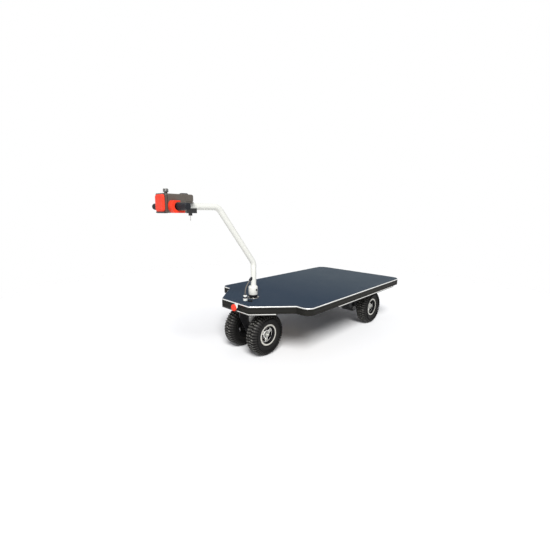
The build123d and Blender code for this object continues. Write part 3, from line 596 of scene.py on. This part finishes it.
# painted highlight with some scuffing: block tops greyer towards the crown
scuff_glint = add(tree, "MapRange", {"Value": reach, "From Min": SCUFF_GLINT_FROM_R, "From Max": SCUFF_GLINT_FULL_R})
spots = add(tree, "TexNoise", {"Vector": place, "Scale": 1000 / SCUFF_GLINT_MM, "Detail": 1.0}).outputs["Fac"]
chance = add(tree, "MapRange", {
    "Value": spots, "From Min": SCUFF_GLINT_REACH[0], "From Max": SCUFF_GLINT_REACH[1], "To Min": LEAST_SCUFF_GLINT,
})
share = add(tree, "Math", {0: scuff_glint.outputs[0], 1: chance.outputs[0]}, operation="MULTIPLY")
overlay(worn_and_highlit_rubber, share.outputs[0], "#6C6B66")
section = list(CARCASS) + [(r, -y) for r, y in reversed(CARCASS)]
angles = [tau * k / (LUGS * 2) for k in range(LUGS * 2)]
rings = [[(r * cos(a), y, r * sin(a)) for r, y in section] for a in angles]
bm = bmesh.new()
loft(bm, rings + [rings[0]], caps=False)
bmesh.ops.remove_doubles(bm, verts=bm.verts, dist=1e-6)
for n in range(LUGS):
    angle = tau * n / LUGS
    tread_block(bm, SHOULDER_LUG, angle, LUG_TOP_W, LUG_FOOT_W)
    tread_block(bm, [(-y, r) for y, r in SHOULDER_LUG], angle, LUG_TOP_W, LUG_FOOT_W)
    tread_block(bm, MIDDLE_BLOCK, angle + MIDDLE_STAGGER * tau / LUGS, LUG_TOP_W, LUG_TOP_W)
moulding = None
for place, body in WHEELS:
    low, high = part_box("tyre_" + place)
    if moulding is None:
        tyre = skin("tread_tyre_" + place, bm, tyre_rubber, None)
        moulding = tyre.data
        moulding.materials.append(worn_and_highlit_rubber)
    else:
        tyre = bpy.data.objects.new("tread_tyre_" + place, moulding)
        scene.collection.objects.link(tyre)
    tyre.matrix_world = Matrix.Translation((low + high) / 2)
    eased = tyre.modifiers.new("eased blocks", "BEVEL")
    eased.width, eased.segments = LUG_EDGE, 1
    eased.limit_method, eased.angle_limit = "ANGLE", radians(LUG_EASE_OVER_DEG)
    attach(tyre, body)
    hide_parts("tyre_" + place)

# Rims: cast aluminium with three broad spokes, bright on the rolled lip, the spokes and
# the hub, black in the barrel: black enamel, with painted shade that makes the openings read
# as holes. A bolt on each spoke, a seal round the hub, a plated nut on the driven ones, and a rubber valve
# through the barrel.
LIP_R, LIP_DEPTH, WEB_DEPTH, HUB_R, HUB_DEPTH = 0.0562, 0.0275, 0.013, 0.0225, 0.016
SPOKES, SPOKE_TURN, SPOKE_FLAT, LOOKS_OUT = 3, {"front": 90, "rear": 180}, 0.0008, 0.6
SPOKE_BOLT_RING, SPOKE_BOLT_R, SPOKE_BOLT_H = 0.0345, 0.0055, 0.006
VALVE_RING, VALVE_DEPTH, VALVE_LEAN = 0.0475, 0.012, 0.55
# turned pieces, radius and height
WHEEL_NUT = ((0.0115, -0.001), (0.0115, 0.0052), (0.0101, 0.0064), (0.007, 0.0066))
WHEEL_STUD = ((0.0060, 0.0050), (0.0060, 0.0095), (0.0052, 0.0102), (0.001, 0.0103))
HUB_SEAL = (
    (0.0198, -0.002), (0.0198, 0.0002), (0.0190, 0.0008), (0.0166, 0.0008), (0.0158, 0.0002),
    (0.0158, -0.002),
)
VALVE = (
    (0.0056, -0.003), (0.0054, 0.002), (0.0038, 0.005), (0.0038, 0.011), (0.0043, 0.0114),
    (0.0043, 0.0158), (0.0034, 0.0166), (0.001, 0.0167),
)
# machined casting: bright satin with a faint turned grain under the clear coat
cast_silver = surface(
    "clear-lacquered machined aluminium", "#EBEBE7", "#DCDCD7", 20, 0.30, 1.6, 0.004,
    Metallic=0.35, Coat_Weight=0.1,
)
# the lip is left as rolled: the same metal, warmer and a little duller
lip_silver = surface(
    "lacquered aluminium, as rolled", "#D2D0C7", "#C4C2B9", 20, 0.34, 1.6, 0.004,
    Metallic=0.35, Coat_Weight=0.1,
)
# barrel: flat black enamel, also painted shade in the barrel and the openings, so that the openings read
# as holes
barrel_enamel_and_shade = surface(
    "black enamel and painted shade on cast aluminium", "#0B0B0C", "#121213", 20, 0.7, 1.6, 0.02, Specular_IOR_Level=0.15,
)
for place, body in WHEELS:
    low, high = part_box("tyre_" + place)
    middle = (low + high) / 2
    out = 1 if middle.y > 0 else -1
    first_spoke = SPOKE_TURN[place.split("_")[0]]

    def machined(centre, normal):
        """Picks the faces of the spokes and the hub."""
        depth = (centre.y - middle.y) * out
        spoke = abs(depth - WEB_DEPTH) < SPOKE_FLAT and normal.y * out > LOOKS_OUT
        return spoke or (hypot(centre.x - middle.x, centre.z - middle.z) < HUB_R and depth > WEB_DEPTH)

    def rolled(centre, normal):
        """Picks the faces of the outer lip."""
        depth = (centre.y - middle.y) * out
        return hypot(centre.x - middle.x, centre.z - middle.z) > LIP_R and depth > LIP_DEPTH

    # all but the lip, the spokes' faces and the hub are black: partly painted shade
    dress("rim_" + place, barrel_enamel_and_shade, 0.8, (cast_silver, machined), (lip_silver, rolled))
    bm = bmesh.new()
    for n in range(SPOKES):
        a = radians(first_spoke + 360 / SPOKES * n)
        spot = middle + Vector((SPOKE_BOLT_RING * cos(a), out * WEB_DEPTH, -SPOKE_BOLT_RING * sin(a)))
        hex_bolt(bm, spot, (0, out, 0), SPOKE_BOLT_R, SPOKE_BOLT_H, a)
    hub = seat(middle + Vector((0, out * HUB_DEPTH, 0)), (0, out, 0))
    if place.startswith("rear"):
        lathe(bm, WHEEL_NUT, 6, hub)
        lathe(bm, WHEEL_STUD, 20, hub)
    skin("wheel_bolts_" + place, bm, zinc, body)
    bm = bmesh.new()
    lathe(bm, HUB_SEAL, 40, hub)
    a = radians(first_spoke + 180 / SPOKES)
    root = middle + Vector((VALVE_RING * cos(a), out * VALVE_DEPTH, -VALVE_RING * sin(a)))
    lathe(bm, VALVE, 18, seat(root, (-cos(a) * VALVE_LEAN, out, sin(a) * VALVE_LEAN)))
    skin("hub_seal_and_valve_" + place, bm, grip_rubber, body)

# Control head: a moulded ABS housing on the tiller's end, dark warm grey with a fine
# spark texture, a smoother bezel round the red front pad and a black foot under the pad.
BEZEL_T, SEAM_HALF, SEAM_SUNK, PAD_SEAM_SUNK, SEAM_R = 0.011, 0.0009, 0.003, 0.0024, 0.0085
BEZEL_SLACK, FOOT_SLACK = 0.0005, 0.0001
pad_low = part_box("head_pad")[0]
shell_low, shell_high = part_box("head_shell")
bezel_x = pad_low.x - BEZEL_T


def rounded(left, right, low, high, radius, steps, inset=0.0):
    """Points round a rectangle with rounded corners, drawn in by an inset at the corners."""
    middles = (
        (right - radius, high - radius), (left + radius, high - radius),
        (left + radius, low + radius), (right - radius, low + radius),
    )
    turns = [[pi / 2 * (q + k / steps) for k in range(steps + 1)] for q in range(4)]
    reach = radius - inset
    return [
        (u + reach * cos(a), v + reach * sin(a)) for (u, v), turn in zip(middles, turns) for a in turn
    ]


# spark-textured ABS: even, dull, a little lighter at grazing light; the bezel is smoother, the foot black
head_abs = surface(
    "spark-textured grey ABS", "#59534C", "#615B54", 45, 0.56, 0.9, 0.02, Specular_IOR_Level=0.35,
)
bezel_abs = surface("satin grey ABS", "#4F4841", "#574F48", 45, 0.45, 0.9, 0.02)
black_abs = surface("moulded black ABS", "#171718", "#1F1F20", 20, 0.42, 1.0, 0.02)
dress(
    "head_shell", head_abs, 0, (bezel_abs, lambda centre, normal: centre.x > bezel_x + BEZEL_SLACK),
    (black_abs, lambda centre, normal: centre.x > pad_low.x - FOOT_SLACK and centre.z < pad_low.z),
)
bm = bmesh.new()
for x, proud in ((bezel_x, 0.0), (pad_low.x, -PAD_SEAM_SUNK)):
    rings = []
    for dx, step in ((-SEAM_HALF, 0.0), (-SEAM_HALF, proud), (SEAM_HALF, proud), (SEAM_HALF, -SEAM_SUNK)):
        half = shell_high.y + step
        outline = rounded(-half, half, shell_low.z - step, shell_high.z + step, SEAM_R, 6)
        rings.append([(x + dx, y, z) for y, z in outline])
    loft(bm, rings, caps=False)
skin("bezel_seams", bm, black_abs, "steering")

# lower half of the housing's tail: two cheeks that close on the tube, on a black gasket
TAIL_L, TAIL_H, TAIL_IN, TAIL_OUT, TAIL_R = 0.043, 0.0065, 0.0185, 0.0440, 0.005
TAIL_BACK, TAIL_OVER_TUBE, GASKET_H = 0.002, 0.0035, 0.0020
GASKET_EDGE_H, GASKET_EDGE_W = 0.0004, 0.0006
tail_x, tail_z = shell_low.x - TAIL_BACK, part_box("tiller_tube")[1].z + TAIL_OVER_TUBE
bm = bmesh.new()
for side in (1, -1):
    rings = []
    for z, inset in (
        (0.0, 0.0), (-TAIL_H + GASKET_H, 0.0), (-TAIL_H + GASKET_EDGE_H, 0.0), (-TAIL_H, GASKET_EDGE_W),
    ):
        outline = rounded(tail_x, tail_x + TAIL_L, TAIL_IN, TAIL_OUT, TAIL_R, 5, inset)
        rings.append([(x, side * y, tail_z + z) for x, y in outline])
    loft(bm, rings)
for face in bm.faces:
    face.material_index = 1 if face.calc_center_median().z < tail_z - TAIL_H + GASKET_H else 0
skin("tail_cheeks", bm, head_abs, "steering").data.materials.append(black_abs)

# Controls on the head: the red front pad and the two red thumb levers round the bar, a plated
# knob and a black gauge on top, and the key in its black switch under the tube.
# moulded red ABS: clean orange-red with a soft highlight
red_abs = surface("moulded red ABS", "#F5452C", "#EF3F27", 40, 0.45, 2.2, 0.002, Specular_IOR_Level=0.2)
for name in ("head_pad", "paddle_left", "paddle_right"):
    dress(name, red_abs)
# smoked chrome: a grey mirror of the white room, with a few fine rubs
chrome = surface(
    "smoked chrome plate", "#6E6E6C", "#7C7C7A", 5, 0.16, 0.5, 0.001, spread=0.03, Metallic=1.0,
)
dress("head_knob", chrome, 0.4)
dress("head_gauge", black_abs, 0.8)
dress("key_switch", black_abs, 1.0)
# nickel on brass: dull, faintly warm
nickel = surface("worn nickel-plated brass", "#8C8680", "#7A736C", 4, 0.4, 0.6, 0.004, Metallic=0.8)
dress("ignition_key", nickel, 0.3)

# Hand grips: ribbed soft rubber sleeves pushed on the ends of the cross bar, closed at
# the tip, with a plain collar next to the thumb lever.
GRIP_RIBS, RIB_PITCH, BAR_R, RIB_R, ROOT_R, BAR_SHOWN = 12, 0.0050, 0.0120, 0.0160, 0.0151, 0.037
# radius, and distance from the sleeve's start, from a rib's start and from the tip
COLLAR = ((0.0150, 0.0), (RIB_R, 0.001), (RIB_R, 0.005), (ROOT_R, 0.006))
RIB, FIRST_RIB = ((ROOT_R, 0.0), (RIB_R, 0.0010), (RIB_R, 0.0034), (ROOT_R, 0.0044)), 0.0064
TIP = (
    (ROOT_R, 0.0105), (RIB_R, 0.0097), (RIB_R, 0.0042), (0.0152, 0.0016), (0.0128, 0.0003), (0.006, 0.0),
)
bar_low, bar_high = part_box("grip_left")
bar_x, bar_z = (bar_low.x + bar_high.x) / 2, (bar_low.z + bar_high.z) / 2
grip_start, grip_end = bar_low.y + BAR_SHOWN, bar_high.y
profile = [(BAR_R, bar_low.y), (BAR_R, grip_start)] + [(r, grip_start + y) for r, y in COLLAR]
for n in range(GRIP_RIBS):
    profile += [(r, grip_start + FIRST_RIB + n * RIB_PITCH + y) for r, y in RIB]
profile += [(r, grip_end - y) for r, y in TIP]
for side, name in ((1, "left"), (-1, "right")):
    bm = bmesh.new()
    lathe(bm, profile, 48, seat((bar_x, 0, bar_z), (0, side, 0)))
    sleeve = skin("ribbed_grip_" + name, bm, grip_rubber, "steering", 50)
    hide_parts("grip_" + name)

# Deck fittings: the white nylon cable gland with its black sealing ring, two rubber
# plugs in the mat beside it, and the red stop button on its plate at the nose.
STOP_HEAD_T = 0.0085
PLUGS = ((0.0765, 0.0455), (0.0670, 0.0575))
# turned pieces, radius and height
GLAND_RING = (
    (0.0086, 0.0142), (0.0112, 0.0146), (0.0120, 0.0160), (0.0120, 0.0220), (0.0112, 0.0234),
    (0.0086, 0.0238),
)
GLAND_MOUTH = ((0.0040, -0.001), (0.0060, -0.001), (0.0060, 0.0008), (0.0040, 0.0022))
PLUG = (
    (0.0072, -0.001), (0.0072, 0.0014), (0.0060, 0.0022), (0.0060, 0.0078), (0.0048, 0.0090),
    (0.0008, 0.0092),
)
# moulded nylon: off-white, waxy, slightly translucent to the eye
white_nylon = surface(
    "moulded white nylon", "#F2F2ED", "#EAEAE4", 10, 0.45, 1.4, 0.005, Subsurface_Weight=0.04,
)
dress("cable_gland", white_nylon, 0.6)
dress("stop_base", white_nylon, 0.6)
stop_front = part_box("stop_button")[1].x
dress("stop_button", red_abs, 0, (white_nylon, lambda centre, normal: centre.x < stop_front - STOP_HEAD_T))
deck_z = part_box("deck_mat")[1].z
gland_low, gland_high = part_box("cable_gland")
gland = (gland_low + gland_high) / 2
bm = bmesh.new()
lathe(bm, GLAND_RING, 36, Matrix.Translation((gland.x, gland.y, deck_z)))
lathe(bm, GLAND_MOUTH, 28, Matrix.Translation((gland.x, gland.y, gland_high.z)))
skin("gland_seal", bm, grip_rubber, "chassis")
bm = bmesh.new()
for x, y in PLUGS:
    lathe(bm, PLUG, 24, Matrix.Translation((steer_x + x, y, deck_z)))
skin("deck_plugs", bm, tyre_rubber, "chassis")

# Control cable: one grey PVC-sheathed lead that leaves a rubber grommet on the
# steering tube, hangs forward and goes straight down into the gland on the deck.
CABLE_D, CABLE_LENGTH, CABLE_SIDES, CABLE_FINENESS = 0.0075, 0.1006, 14, 10


def hose(bm, line, radius, sides):
    """Sweeps a round section along a line, without twist."""
    line = [Vector(p) for p in line]
    across = (line[1] - line[0]).normalized().orthogonal().normalized()
    angles = [tau * k / sides for k in range(sides)]
    rings = []
    for i, point in enumerate(line):
        fore = (line[min(i + 1, len(line) - 1)] - line[max(i - 1, 0)]).normalized()
        across = (across - fore * across.dot(fore)).normalized()
        other = fore.cross(across)
        rings.append([point + (across * cos(a) + other * sin(a)) * radius for a in angles])
    loft(bm, rings)


# soft PVC: a dull sheen with a faint drag of dust, no visible weave
cable_pvc = surface("extruded grey PVC sheath", "#57524B", "#645E56", 14, 0.52, 2.0, 0.02)
route = bpy.data.curves.new("control cable route", "CURVE")
route.dimensions = "3D"
route.resolution_u = CABLE_FINENESS
spline = route.splines.new("NURBS")
spline.points.add(len(CABLE_ROUTE) - 1)
for knot, point in zip(spline.points, CABLE_ROUTE):
    knot.co = (*point, 1.0)
spline.order_u = 3
spline.use_endpoint_u = True
route_object = bpy.data.objects.new("control cable route", route)
scene.collection.objects.link(route_object)
cable_line = [list(v.co) for v in bpy.data.meshes.new_from_object(route_object).vertices]
bpy.data.objects.remove(route_object)
bm = bmesh.new()
hose(bm, cable_line, CABLE_D / 2, CABLE_SIDES)
cable = skin("control_cable_lead", bm, cable_pvc, None)
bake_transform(cable)
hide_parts("control_cable")
